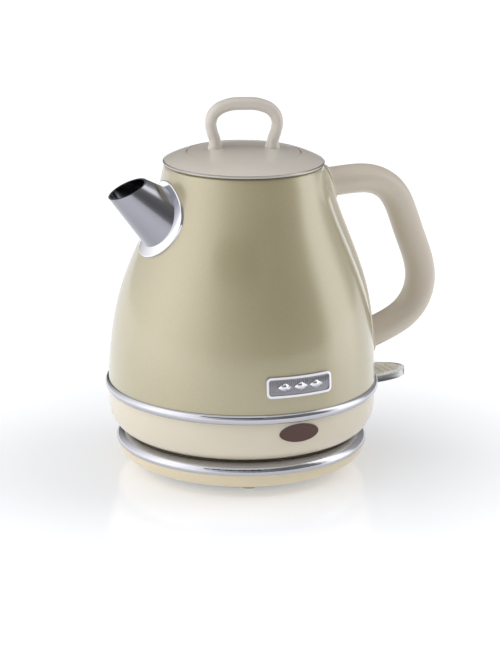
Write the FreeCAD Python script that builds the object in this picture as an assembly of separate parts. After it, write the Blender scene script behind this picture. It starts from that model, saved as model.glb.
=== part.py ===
"""Electric kettle on a 360 degree base: one STEP file per piece.

Row frame: origin on the body axis at floor level, +Z up, handle towards +X,
spout towards -X, badge and lamp lens towards -Y. All lengths are millimetres.
"""
import math
import os

import FreeCAD
import Part

os.makedirs("parts", exist_ok=True)

V = FreeCAD.Vector
Z_UP = V(0, 0, 1)

# ---------------------------------------------------------------- driving sizes
GAP = 0.3  # clearance between pieces that move apart
WALL_STEEL = 1.0  # painted steel body wall
WALL_PLASTIC = 2.2  # moulded housing wall

BODY_Z = 48.5  # underside of the painted body, top of the chrome ring
BODY_TOP = 167.1  # rim of the painted body
MOUTH_R = 38.6  # radius of the open mouth under the lid
BODY_PROFILE = [  # painted bell, radius against height
    (73.2, 48.7), (72.65, 60.5), (71.0, 76.5), (67.4, 94.5), (61.25, 112.5),
    (52.9, 132.5), (45.95, 152.5), (44.1, 161.5), (43.2, 165.4),
]
RING_LOW = 43.3  # lower edge of the chrome body ring
RING_R = 75.0  # largest radius of the chrome body ring
HOUSING_LOW = 20.6  # underside of the kettle's lower housing

BASE_TOP = 18.3  # upper face of the base dish
BASE_TRIM_R = 68.9  # largest radius of the chrome base trim
BASE_TRIM_LOW = 13.4  # lower edge of the chrome base trim
SKIRT_R = 53.0  # radius of the recessed skirt under the base
HUB_R = 15.5  # radius of the base connector
HUB_TOP = 30.4  # top of the base connector
SOCKET_R = 16.2  # radius of the kettle's socket round the connector
FOOT_ANGLES = (-110.0, 10.0, 130.0)  # feet, angle from +X
OUTLET_Z = 9.2  # height of the cord outlet in the base wall

LID_Z = BODY_TOP + GAP  # underside of the lid trim
LID_R = 43.5
LID_DISC_R = 30.3  # central disc of the lid
KNOB_ANGLE = -20.0  # the loop's plane, angle from +X
KNOB_LINE = [  # centre line of half the loop: sideways, height
    (15.2, 173.4), (15.7, 179.0), (17.3, 184.4), (17.8, 189.6), (15.3, 195.2),
    (9.0, 198.9), (0.0, 200.0),
]
KNOB_THICK = 3.1  # half thickness across the loop
KNOB_DEEP = 4.2  # half depth through the loop

HANDLE_LINE = [  # centre line of the handle: radius, height
    (46.0, 152.2), (54.0, 152.8), (62.0, 153.2), (70.0, 153.3), (77.0, 152.4),
    (83.5, 150.0), (88.8, 146.3), (93.2, 141.0), (97.2, 133.0), (101.5, 122.0),
    (105.6, 112.0), (108.8, 103.0), (110.2, 95.0), (109.5, 87.0), (106.3, 79.6),
    (100.9, 73.6), (93.8, 69.3), (86.0, 66.1), (78.0, 63.4), (70.5, 61.4),
]
GRIP_A = 7.9  # half thickness of the grip in the handle's plane
GRIP_B = 10.0  # half width of the grip
COLLAR_WIDE = 1.6  # width and height of the collar round each root of the grip

SPINE_HALF = 14.0  # half width of the strip behind the handle
SPINE_LOW = 54.0
SPINE_HIGH = 162.5
SPINE_PROUD = 3.6
WINDOW_HALF = 5.0  # half width of the water window
WINDOW_LOW = 82.0
WINDOW_HIGH = 132.0
HANDLE_BOLTS = ((58.6, 79.0), (152.6, 62.0))  # height and tip radius of each handle screw

SPOUT_TILT = 39.6  # spout axis above the horizontal, degrees
SPOUT_FLARE = 13.2  # half angle of the spout cone, degrees
SPOUT_MOUTH = (67.4, 157.3)  # point of the spout axis in the mouth plane
SPOUT_MOUTH_R = 10.2
SPOUT_LEN = 34.0
SPOUT_CUT = 25.0  # slope of the mouth plane, degrees
SPOUT_WALL = 1.0
SPOUT_SEAM = 33.0  # turn of the cone about its own axis, keeps its seam off the body's
COLLAR_CENTRE = (49.9, 140.6)
COLLAR_R = 21.0
COLLAR_PROUD = 1.3  # height of the collar's inner edge off the body
COLLAR_BEVEL = 0.5  # rounding of the collar's outer edge

LEVER_Z = 40.3  # middle of the switch lever
LEVER_TIP = 101.0
LEVER_HALF = 13.5
LEVER_PIVOT = (62.0, 40.3)
PIN_R = 1.5
PIN_CLEAR = 0.05

BADGE_Z = 63.2
BADGE_W = 37.5
BADGE_H = 11.0
LENS_Z = 37.2
LENS_W = 22.4
LENS_H = 9.6


# ---------------------------------------------------------------- helpers
def save(shape, name):
    """Write one piece to parts/NAME.step after checking that it is sound."""
    if shape.ShapeType == "Compound" and len(shape.Solids) == 1:
        shape = shape.Solids[0]
    good = shape.isValid() and all(s.isClosed() for s in shape.Shells)
    volume = shape.Volume
    print("%-22s solids %d valid %s volume %.1f" % (name, len(shape.Solids), good, volume))
    shape.exportStep("parts/" + name + ".step")
    return shape


def edge_of(points, smooth):
    """One smooth edge, or a list of straight edges, through (r, z) points."""
    pts = [V(p[0], 0, p[1]) for p in points]
    if smooth and len(pts) > 2:
        curve = Part.BSplineCurve()
        curve.interpolate(pts)
        return [curve.toShape()]
    return [Part.makeLine(a, b) for a, b in zip(pts[:-1], pts[1:])]


def turned(*runs):
    """Revolve a closed outline about Z. Each run is (points, smooth)."""
    edges = []
    first = runs[0][0][0]
    last = None
    for points, smooth in runs:
        if last is not None and V(last[0], 0, last[1]).distanceToPoint(V(points[0][0], 0, points[0][1])) > 1e-6:
            edges += edge_of([last, points[0]], False)
        edges += edge_of(points, smooth)
        last = points[-1]
    if V(last[0], 0, last[1]).distanceToPoint(V(first[0], 0, first[1])) > 1e-6:
        edges += edge_of([last, first], False)
    wire = Part.Wire(Part.__sortEdges__(edges))
    solid = Part.Face(wire).revolve(V(0, 0, 0), Z_UP, 360)
    return as_solid(solid)


def as_solid(shape):
    """Return a solid with outward faces from a shape that bounds one."""
    if shape.ShapeType == "Solid":
        solid = shape
    elif shape.Solids:
        solid = shape.Solids[0]
    else:
        solid = Part.Solid(shape.Shells[0])
    if solid.Volume < 0:
        solid.reverse()
    return solid


def offset_line(points, distance):
    """Shift an (r, z) line sideways; positive is away from the axis for a rising line."""
    out = []
    for i, point in enumerate(points):
        a = points[max(i - 1, 0)]
        b = points[min(i + 1, len(points) - 1)]
        dx = b[0] - a[0]
        dz = b[1] - a[1]
        size = math.hypot(dx, dz)
        out.append((point[0] + distance * dz / size, point[1] - distance * dx / size))
    return out


def cylinder(radius, low, high, x=0.0, y=0.0):
    """Upright cylinder."""
    return Part.makeCylinder(radius, high - low, V(x, y, low), Z_UP)


def tube(outer, inner, low, high, x=0.0, y=0.0):
    """Upright tube."""
    return cylinder(outer, low, high, x, y).cut(cylinder(inner, low - 1, high + 1, x, y))


def polar(radius, angle):
    """X and Y of a point at an angle in degrees from +X."""
    return radius * math.cos(math.radians(angle)), radius * math.sin(math.radians(angle))


def prism_x(width, height, z, low_x, high_x, corner):
    """Rounded rectangle in YZ pushed along X, centred on y = 0 and height z."""
    box = Part.makeBox(high_x - low_x, width, height, V(low_x, -width / 2.0, z - height / 2.0))
    edges = [e for e in box.Edges if abs(e.tangentAt(e.FirstParameter).x) > 0.99]
    return box.makeFillet(corner, edges)


def prism_y(width, height, z, low_y, high_y, corner):
    """Rounded rectangle in XZ pushed along Y, centred on x = 0 and height z."""
    box = Part.makeBox(width, high_y - low_y, height, V(-width / 2.0, low_y, z - height / 2.0))
    edges = [e for e in box.Edges if abs(e.tangentAt(e.FirstParameter).y) > 0.99]
    return box.makeFillet(corner, edges)


def oval_y(width, height, z, low_y, high_y):
    """Elliptical plug in XZ pushed along Y."""
    ellipse = Part.Ellipse(V(0, 0, 0), width / 2.0, height / 2.0).toShape()
    face = Part.Face(Part.Wire([ellipse]))
    solid = face.extrude(V(0, 0, high_y - low_y))
    solid.rotate(V(0, 0, 0), V(1, 0, 0), -90)
    solid.translate(V(0, low_y, z))
    return as_solid(solid)


def swept(points, semi_in, semi_out):
    """Oval rod along a smooth line in the XZ plane."""
    pts = [V(p[0], 0, p[1]) for p in points]
    curve = Part.BSplineCurve()
    curve.interpolate(pts)
    path = Part.Wire([curve.toShape()])
    start = curve.value(curve.FirstParameter)
    along = V(*curve.tangent(curve.FirstParameter)[0])
    along.normalize()
    across = V(0, 1, 0)
    inside = along.cross(across)
    if semi_out >= semi_in:
        major, minor, big, small = across, inside, semi_out, semi_in
    else:
        major, minor, big, small = inside, across, semi_in, semi_out
    ellipse = Part.Ellipse(start + major * big, start + minor * small, start)
    section = Part.Wire([ellipse.toShape()])
    pipe = Part.BRepOffsetAPI.MakePipeShell(path)
    pipe.setBiNormalMode(across)
    pipe.add(section, False, False)
    pipe.build()
    pipe.makeSolid()
    return as_solid(pipe.shape())


def bell(offset, low=BODY_Z, high=BODY_TOP):
    """Solid inside the painted bell, grown or shrunk by offset."""
    line = offset_line(BODY_PROFILE, offset)
    start = (line[0][0], low - 12.0)
    end = (line[-1][0], high + 12.0)
    return turned(([(0, start[1]), start, line[0]], False), (line, True), ([line[-1], end, (0, end[1])], False))


def screw(x, y, low, high, head_r, shank_r, head_up):
    """Pan head screw with a cross recess."""
    head_h = 1.6
    if head_up:
        shape = cylinder(shank_r, low, high - head_h, x, y).fuse(cylinder(head_r, high - head_h, high, x, y))
        for turn in (0, 90):
            slot = Part.makeBox(head_r * 1.2, 0.7, 0.8, V(x - head_r * 0.6, y - 0.35, high - 0.8))
            slot.rotate(V(x, y, 0), Z_UP, turn)
            shape = shape.cut(slot)
    else:
        shape = cylinder(shank_r, low + head_h, high, x, y).fuse(cylinder(head_r, low, low + head_h, x, y))
        for turn in (0, 90):
            slot = Part.makeBox(head_r * 1.2, 0.7, 0.8, V(x - head_r * 0.6, y - 0.35, low))
            slot.rotate(V(x, y, 0), Z_UP, turn)
            shape = shape.cut(slot)
    return as_solid(shape.removeSplitter())


# ---------------------------------------------------------------- base
def make_base():
    shell = turned(
        ([(68.2, BASE_TRIM_LOW), (67.5, 10.2), (64.9, 7.0), (60.6, 4.6), (55.4, 3.2)], True),
        ([(47.0, 3.2), (47.0, 5.2), (55.6, 5.2)], False),
        ([(55.6, 5.2), (59.8, 6.4), (63.3, 8.4), (65.5, 11.0), (66.0, BASE_TRIM_LOW)], True),
    )
    exit_hole = Part.makeCylinder(4.1, 20, V(0, 56, OUTLET_Z), V(0, 1, 0))
    exit_hole.rotate(V(0, 0, OUTLET_Z), V(0, 1, 0), 33)
    shell.rotate(V(0, 0, 0), Z_UP, 17)
    shell = shell.cut(exit_hole)
    for angle in (-50, 70, 190):
        x, y = polar(50.0, angle)
        shell = shell.cut(cylinder(1.3, 0, 8, x, y))
    save(shell, "base_shell")

    trim = turned(
        ([(62.7, 19.5), (64.6, 19.4), (66.9, 18.3), (68.5, 16.6), (BASE_TRIM_R, 15.2), (68.3, BASE_TRIM_LOW)], True),
        ([(66.0, BASE_TRIM_LOW), (65.9, 15.2), (64.6, 16.9), (62.7, 17.6)], False),
    )
    save(trim, "base_trim_ring")

    plate = turned(([
        (17.0, 16.5), (61.0, 16.5), (62.6, 17.0), (62.6, 18.9), (60.4, 18.9), (59.6, BASE_TOP),
        (24.0, BASE_TOP), (23.0, 17.9), (17.0, 17.9)], False))
    for i in range(4):
        x, y = polar(40.0, 45 + 90 * i)
        plate = plate.cut(cylinder(2.2, 10, 25, x, y))
    save(plate, "base_top_plate")

    # The 360 degree connector: flange under the plate, ring groove and centre socket.
    hub = turned(([
        (0, 6.0), (20.0, 6.0), (20.0, 16.3), (HUB_R + 1.2, 16.3), (HUB_R + 1.2, 17.6), (HUB_R, 18.6),
        (HUB_R, HUB_TOP - 1.2), (HUB_R - 1.2, HUB_TOP), (11.6, HUB_TOP), (11.6, 22.0), (8.6, 22.0),
        (8.6, HUB_TOP), (3.6, HUB_TOP), (3.6, 20.0), (0, 20.0)], False))
    save(hub, "base_hub")
    contacts = [
        tube(11.4, 10.3, 22.1, HUB_TOP - 2.0),
        tube(9.8, 8.8, 22.1, HUB_TOP - 2.0),
        tube(3.3, 2.3, 20.1, HUB_TOP - 1.5),
    ]
    save(Part.makeCompound(contacts), "base_contacts")

    cover = turned(([(0, 1.2), (51.6, 1.2), (SKIRT_R, 2.0), (SKIRT_R, 3.0), (0, 3.0)], False))
    for angle in FOOT_ANGLES:
        x, y = polar(47.5, angle)
        cover = cover.cut(cylinder(4.0, 1.0, 2.0, x, y))
    for angle in (-50, 70, 190):
        x, y = polar(50.0, angle)
        cover = cover.cut(cylinder(1.3, 0, 8, x, y))
        cover = cover.cut(cylinder(2.3, 0.2, 1.97, x, y))
    for i in range(6):
        x, y = polar(30.0, 60 * i)
        slot = Part.makeBox(12, 2.4, 6, V(-6, -1.2, 0))
        slot.rotate(V(0, 0, 0), Z_UP, 60 * i)
        slot.translate(V(x, y, 0))
        cover = cover.cut(slot)
    save(cover, "base_bottom_cover")

    feet = []
    for angle in FOOT_ANGLES:
        x, y = polar(47.5, angle)
        foot = cylinder(3.9, 0.0, 2.0, x, y)
        foot = foot.makeFillet(0.5, [e for e in foot.Edges if e.BoundBox.ZMax < 0.01])
        feet.append(foot)
    save(Part.makeCompound(feet), "base_feet")

    screws = []
    for angle in (-50, 70, 190):
        x, y = polar(50.0, angle)
        screws.append(screw(x, y, 0.35, 7.6, 2.2, 1.2, False))
    save(Part.makeCompound(screws), "base_screws")

    # Cord outlet: a flanged bush with an open bore through the base wall.
    bush = Part.makeCylinder(4.05, 9.6, V(0, 58.4, OUTLET_Z), V(0, 1, 0))
    bush = bush.cut(Part.makeCylinder(3.1, 20, V(0, 50, OUTLET_Z), V(0, 1, 0)))
    save(as_solid(bush), "cord_outlet")

    block = Part.makeBox(16, 12, 7.6, V(-8, 24, 3.2))
    block = block.cut(Part.makeBox(12, 8, 6, V(-6, 26, 6.2)))
    save(block, "base_terminal_block")


# ---------------------------------------------------------------- kettle
def spout_direction():
    """Unit vector along the spout, outwards and up, and its mouth point."""
    tilt = math.radians(SPOUT_TILT)
    axis = V(-math.cos(tilt), 0, math.sin(tilt))
    mouth = V(-SPOUT_MOUTH[0], 0, SPOUT_MOUTH[1])
    return axis, mouth


def spout_cone(grow):
    """Solid cone of the spout, grown by a wall thickness."""
    axis, mouth = spout_direction()
    reach = 16.0
    flare = math.tan(math.radians(SPOUT_FLARE))
    low_r = SPOUT_MOUTH_R + SPOUT_LEN * flare + grow
    high_r = SPOUT_MOUTH_R - reach * flare + grow
    cone = Part.makeCone(low_r, high_r, SPOUT_LEN + reach, mouth - axis * SPOUT_LEN, axis)
    cone.rotate(mouth, axis, SPOUT_SEAM)
    return cone


def local_normal():
    """Outward normal of the bell at the spout collar."""
    a, b = (52.9, 132.5), (45.95, 152.5)
    size = math.hypot(b[0] - a[0], b[1] - a[1])
    return V(-(b[1] - a[1]) / size, 0, (a[0] - b[0]) / size)


def make_body():
    outer_line = BODY_PROFILE
    inner_line = offset_line(BODY_PROFILE, -WALL_STEEL)
    inner_line = [(inner_line[0][0], 48.7)] + inner_line[1:]
    inner_rev = list(reversed(inner_line))
    body = turned(
        (outer_line, True),
        ([outer_line[-1], (42.8, 166.5), (42.2, BODY_TOP), (MOUTH_R, BODY_TOP), (MOUTH_R, BODY_TOP - 3.0),
          (MOUTH_R + 0.9, BODY_TOP - 3.0), (MOUTH_R + 0.9, BODY_TOP - 1.0), (41.6, BODY_TOP - 1.0),
          inner_rev[0]], False),
        (inner_rev, True),
    )
    body = body.cut(spout_cone(-SPOUT_WALL))
    slot = prism_x(2 * WINDOW_HALF, WINDOW_HIGH - WINDOW_LOW, (WINDOW_HIGH + WINDOW_LOW) / 2.0, 40, 90, 4.0)
    body = body.cut(slot)
    for z, _tip in HANDLE_BOLTS:
        body = body.cut(Part.makeCylinder(1.7, 60, V(30, 0, z), V(1, 0, 0)))
    save(body, "body_shell")

    ring = turned(
        ([(73.0, BODY_Z + 0.2), (74.2, 48.1), (RING_R, 46.3), (74.6, 44.4), (72.6, RING_LOW)], True),
        ([(70.6, RING_LOW), (70.6, BODY_Z - 0.6), (71.9, BODY_Z - 0.6), (71.9, BODY_Z + 0.2)], False),
    )
    save(ring, "body_ring")

    housing = turned(
        ([(72.4, RING_LOW), (72.9, 39.0), (72.9, 35.5), (72.3, 31.2), (70.9, 27.4), (68.6, 24.2), (65.9, 22.1),
          (62.6, HOUSING_LOW)], True),
        ([(60.4, HOUSING_LOW), (60.4, HOUSING_LOW + 2.0)], False),
        ([(60.4, 22.8), (64.4, 24.2), (67.0, 26.4), (69.0, 29.4), (70.1, 33.0), (70.5, 38.0), (70.4, RING_LOW)], True),
    )
    lever_slot = prism_x(2 * LEVER_HALF + 1.6, 7.6, LEVER_Z - 1.3, 60, 90, 1.5)
    housing = housing.cut(lever_slot)
    housing = housing.cut(oval_y(LENS_W - 1.6, LENS_H - 1.6, LENS_Z, -90, -60))
    housing = housing.cut(bell_housing_recess())
    save(housing, "lower_housing")

    plate = turned(([
        (0, 49.4), (67.6, 49.4), (68.8, 48.9), (68.8, 47.4), (69.6, 47.4), (69.6, 49.6), (68.4, 50.3),
        (0, 50.3)], False))
    x, y = polar(61.2, 28)
    plate = plate.cut(cylinder(3.0, 40, 60, x, y))
    save(plate, "heating_plate")

    seal = turned(([(69.7, 48.0), (71.8, 48.0), (71.8, 51.0), (70.6, 51.4), (69.7, 50.6)], False))
    save(seal, "plate_seal")

    save(make_element(), "heating_element")

    control = turned(([
        (SOCKET_R, 21.0), (24.0, 21.0), (24.0, 42.0), (0, 42.0), (0, 34.6), (SOCKET_R, 34.6)], False))
    box = Part.makeBox(26, 18, 14, V(20, -9, 27.5)).cut(cylinder(23.9, 20, 60))
    control = as_solid(control.fuse(box).removeSplitter())
    save(control, "control_unit")
    blades = []
    for radius in (10.05, 2.8):
        for i in range(2):
            x, y = polar(radius, 90 + 180 * i)
            if radius < 5 and i == 1:
                continue
            if radius < 5:
                x, y = 0.0, 0.0
            blades.append(Part.makeBox(1.6, 0.8, 3.8, V(x - 0.8, y - 0.4, 30.8)))
    save(Part.makeCompound(blades), "control_contacts")

    cover = turned(([(24.3, HOUSING_LOW + 0.1), (60.2, HOUSING_LOW + 0.1), (60.2, 22.5), (24.3, 22.5)], False))
    for i in range(3):
        x, y = polar(52.0, 30 + 120 * i)
        cover = cover.fuse(cylinder(3.0, BASE_TOP + GAP, HOUSING_LOW + 0.4, x, y))
        x, y = polar(54.0, 90 + 120 * i)
        cover = cover.cut(cylinder(1.6, 10, 30, x, y))
    for i in range(3):
        x, y = polar(38.0, 30 + 120 * i)
        cover = cover.cut(cylinder(1.8, 10, 30, x, y))
    save(as_solid(cover.removeSplitter()), "underside_cover")
    screws = []
    for i in range(3):
        x, y = polar(54.0, 90 + 120 * i)
        screws.append(screw(x, y, HOUSING_LOW - 1.5, 30.0, 2.8, 1.5, False))
    save(Part.makeCompound(screws), "cover_screws")

    # Steam tube from under the mouth down to the steam switch.
    top = V(40.6, 0, 152.0)
    low = V(61.8, 0, 47.0)
    along = low.sub(top)
    turn = 28.0
    steam = Part.makeCylinder(2.4, along.Length, top, along).cut(Part.makeCylinder(1.6, along.Length, top, along))
    steam.rotate(V(0, 0, 0), Z_UP, turn)
    save(steam, "steam_tube")

    switch = Part.makeBox(12, 16, 12, V(-6, -8, 34.2))
    switch = switch.cut(Part.makeBox(9, 13, 10, V(-4.5, -6.5, 33.2)))
    switch.translate(V(61.0, 0, 0))
    switch.rotate(V(0, 0, 0), Z_UP, turn + 2.0)
    save(switch, "steam_switch")
    save(cylinder(3.6, 36.0, 36.6, *polar(60.5, turn + 2.0)), "bimetal_disc")


def bell_housing_recess():
    """Small relief in the housing round the lamp lens."""
    recess = oval_y(LENS_W + 0.2, LENS_H + 0.2, LENS_Z, -90, -60)
    keep = turned(([(0, 20), (72.0, 20), (72.0, 48), (0, 48)], False))
    return recess.cut(keep)


def make_element():
    """Horseshoe heating tube clamped under the plate, with two cold tails."""
    radius = 45.0
    a0, a1 = math.radians(205), math.radians(515)
    mid = (a0 + a1) / 2.0
    pts = [V(radius * math.cos(a), radius * math.sin(a), 45.7) for a in (a0, mid, a1)]
    arc = Part.Arc(pts[0], pts[1], pts[2]).toShape()
    circle = Part.Circle(pts[0], V(-math.sin(a0), math.cos(a0), 0), 3.4).toShape()
    loop = as_solid(Part.Wire([arc]).makePipeShell([Part.Wire([circle])], True, True))
    for point in (pts[0], pts[2]):
        loop = loop.fuse(Part.makeCylinder(2.6, 13.5, V(point.x, point.y, 33.0), Z_UP))
    slab = tube(49.5, 40.5, 47.6, 49.3)
    return as_solid(loop.fuse(slab).removeSplitter())


def collar_lip(edge, centre, normal):
    """True for the collar's outer edge on the grown bell, the rim that is rounded."""
    middle = edge.valueAt((edge.FirstParameter + edge.LastParameter) / 2.0)
    out = (middle - centre).dot(normal)
    away = ((middle - centre) - normal * out).Length
    return away > COLLAR_R - 0.01 and out > -6.0 and edge.Length > 1.0 and not edge.Degenerated \
        and abs(edge.tangentAt((edge.FirstParameter + edge.LastParameter) / 2.0).dot(normal)) < 0.9


def make_spout():
    axis, mouth = spout_direction()
    cut = math.radians(SPOUT_CUT)
    up = V(-math.sin(cut), 0, math.cos(cut))
    knife = Part.makeBox(80, 80, 60, V(-40, -40, 0))
    knife.Placement = FreeCAD.Placement(mouth + V(-0.5, 0, 1.0), FreeCAD.Rotation(Z_UP, up))
    spout = spout_cone(0.0).cut(bell(0.02)).cut(spout_cone(-SPOUT_WALL)).cut(knife)
    save(as_solid(spout), "spout")

    normal = local_normal()
    centre = V(-COLLAR_CENTRE[0], 0, COLLAR_CENTRE[1])
    disc = bell(COLLAR_PROUD).common(Part.makeCylinder(COLLAR_R, 30, centre - normal * 12, normal))
    lip = [e for e in disc.Edges if collar_lip(e, centre, normal)]
    disc = disc.makeFillet(COLLAR_BEVEL, lip)
    collar = as_solid(disc.cut(bell(0.02)).cut(spout_cone(0.02)))
    save(collar, "spout_collar")

    # Strainer: a thin curved panel behind the spout bore with a frame round it.
    hold = Part.makeCylinder(19.2, 30, centre - normal * 18, normal)
    skin = bell(-1.6).cut(bell(-2.4)).common(hold)
    skin = [s for s in skin.Solids if s.CenterOfMass.x < 0][0]
    frame = bell(-1.1).cut(bell(-3.0)).common(hold).cut(
        Part.makeCylinder(16.6, 30, centre - normal * 18, normal))
    frame = [s for s in frame.Solids if s.CenterOfMass.x < 0][0]
    save(as_solid(frame), "strainer_frame")
    mesh = skin.common(Part.makeCylinder(16.5, 30, centre - normal * 18, normal))
    side = normal.cross(V(0, 1, 0))
    holes = []
    for row in range(-3, 4):
        for col in range(-3, 4):
            if math.hypot(row, col) > 3.3:
                continue
            spot = centre + side * (row * 4.0) + V(0, 1, 0) * (col * 4.0)
            holes.append(Part.makeCylinder(1.2, 30, spot - normal * 15, normal))
    mesh = mesh.cut(Part.makeCompound(holes))
    save(as_solid(mesh), "strainer_mesh")


def make_handle():
    # Strip behind the handle that carries the water window.
    strip = bell(SPINE_PROUD).cut(bell(0.05))
    outline = prism_x(2 * SPINE_HALF, SPINE_HIGH - SPINE_LOW, (SPINE_HIGH + SPINE_LOW) / 2.0, 30, 95, 13.0)
    strip = as_solid(strip.common(outline))
    window_mid = (WINDOW_HIGH + WINDOW_LOW) / 2.0
    window_tall = WINDOW_HIGH - WINDOW_LOW
    strip = strip.cut(prism_x(2 * WINDOW_HALF + 0.4, window_tall + 0.4, window_mid, 30, 95, 4.1))
    for z, _tip in HANDLE_BOLTS:
        strip = strip.cut(Part.makeCylinder(1.7, 70, V(30, 0, z), V(1, 0, 0)))
    save(as_solid(strip), "handle_spine")

    pane = bell(SPINE_PROUD - 1.0).cut(bell(-1.6)).common(
        prism_x(2 * WINDOW_HALF - 0.1, window_tall - 0.1, window_mid, 30, 95, 3.9))
    save(as_solid(pane), "water_window")
    gasket = bell(-1.06).cut(bell(-2.4)).common(
        prism_x(2 * WINDOW_HALF + 6, window_tall + 6, window_mid, 30, 95, 6.0))
    gasket = gasket.cut(prism_x(2 * WINDOW_HALF + 0.1, window_tall + 0.1, window_mid, 30, 95, 4.0))
    save(as_solid(gasket), "window_gasket")

    grip = swept(HANDLE_LINE, GRIP_A, GRIP_B)
    grip = grip.cut(bell(SPINE_PROUD + 0.05))
    for z, tip in HANDLE_BOLTS:
        grip = grip.cut(Part.makeCylinder(1.7, tip + 0.3 - 30, V(30, 0, z), V(1, 0, 0)))
    save(as_solid(grip), "handle_grip")

    for name, z, lean in (("handle_upper_collar", 153.0, 0.0), ("handle_lower_collar", 60.4, 16.0)):
        oval = Part.Ellipse(V(0, 0, 0), GRIP_B + COLLAR_WIDE, GRIP_A + COLLAR_WIDE).toShape()
        rod = Part.Face(Part.Wire([oval])).extrude(V(0, 0, 60))
        rod.rotate(V(0, 0, 0), V(0, 0, 1), 90)
        rod.rotate(V(0, 0, 0), V(0, 1, 0), 90 - lean)
        root = 48.0 if lean < 1.0 else 72.0
        back = 30.0
        rod.translate(V(root - back * math.cos(math.radians(lean)), 0, z - back * math.sin(math.radians(lean))))
        band = as_solid(rod).common(bell(SPINE_PROUD + COLLAR_WIDE).cut(bell(SPINE_PROUD + 0.03)))
        band = band.cut(swept(HANDLE_LINE, GRIP_A + 0.03, GRIP_B + 0.03))
        save(max(band.Solids, key=lambda s: s.Volume), name)

    bolts = []
    for (z, tip), start in zip(HANDLE_BOLTS, (67.4, 40.4)):
        head = Part.makeCylinder(3.4, 2.0, V(start, 0, z), V(1, 0, 0))
        shank = Part.makeCylinder(1.6, tip - start, V(start, 0, z), V(1, 0, 0))
        bolts.append(as_solid(head.fuse(shank).removeSplitter()))
    save(Part.makeCompound(bolts), "handle_screws")


def make_lever():
    # Half oval tab with a hub round the pivot pin.
    px, pz = LEVER_PIVOT
    thick = 3.8
    ell = Part.Ellipse(V(0, 0, 0), LEVER_TIP - 74.0, LEVER_HALF).toShape()
    tab = Part.Face(Part.Wire([ell])).extrude(V(0, 0, thick))
    tab.translate(V(74.0, 0, LEVER_Z - thick / 2.0))
    tab = tab.common(Part.makeBox(60, 60, 20, V(74.0, -30, LEVER_Z - 10)))
    neck = Part.makeBox(5.0, 14.0, thick - 0.6, V(px, -7.0, LEVER_Z - thick / 2.0 + 0.3))
    yoke = Part.makeBox(8.0, 2 * LEVER_HALF - 4, thick - 0.6, V(66.3, -LEVER_HALF + 2, LEVER_Z - thick / 2.0 + 0.3))
    neck = neck.fuse(yoke)
    hub = Part.makeCylinder(3.2, 16.0, V(px, -8, pz), V(0, 1, 0))
    tail = Part.makeBox(9.0, 6.0, 2.2, V(px - 11.0, -3, pz - 1.1))
    lever = tab.fuse(neck).fuse(hub).fuse(tail)
    lever = lever.cut(Part.makeCylinder(PIN_R + PIN_CLEAR, 40, V(px, -20, pz), V(0, 1, 0)))
    pocket_ell = Part.Ellipse(V(0, 0, 0), LEVER_TIP - 74.0 - 3.4, LEVER_HALF - 3.2).toShape()
    pocket = Part.Face(Part.Wire([pocket_ell])).extrude(V(0, 0, 1.6))
    pocket.translate(V(74.0, 0, LEVER_Z + thick / 2.0 - 1.2))
    pocket = pocket.common(Part.makeBox(60, 60, 20, V(77.4, -30, LEVER_Z - 10)))
    lever = lever.cut(pocket)
    save(as_solid(lever.removeSplitter()), "switch_lever")
    pad = pocket.common(Part.makeBox(80, 80, 60, V(60, -40, LEVER_Z + thick / 2.0 + 0.35 - 60)))
    for x in (83.0, 87.0, 91.0):
        pad = pad.cut(Part.makeBox(0.8, 40, 2, V(x, -20, LEVER_Z + thick / 2.0 - 0.35)))
    save(as_solid(pad), "switch_pad")

    pin = Part.makeCylinder(PIN_R, 24.0, V(px, -12, pz), V(0, 1, 0))
    save(pin, "switch_pin")
    arms = []
    for side in (-1, 1):
        y0 = -11.6 if side < 0 else 8.4
        arm = Part.makeBox(7.0, 3.2, 9.6, V(px - 3.5, y0, pz - 6.6))
        arms.append(arm)
    bridge = Part.makeBox(7.0, 23.2, 2.0, V(px - 3.5, -11.6, pz - 8.5))
    bracket = bridge
    for arm in arms:
        bracket = bracket.fuse(arm)
    bracket = bracket.fuse(Part.makeBox(4.6, 8.0, 11.0, V(px - 6.8, -4.0, 22.6)))
    bracket = bracket.cut(Part.makeCylinder(PIN_R, 40, V(px, -20, pz), V(0, 1, 0)))
    save(as_solid(bracket.removeSplitter()), "switch_bracket")

    x = px - 9.0
    plunger = cylinder(3.0, pz + 1.4, pz + 2.9, x, 0).fuse(cylinder(1.8, pz + 2.9, pz + 6.9, x, 0))
    save(as_solid(plunger.removeSplitter()), "switch_plunger")
    block = Part.makeBox(6.4, 12.0, 3.6, V(x - 3.0, -6.0, pz + 5.0))
    block = block.cut(cylinder(1.8 + PIN_CLEAR, pz, pz + 12, x, 0))
    save(block, "switch_block")


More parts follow.
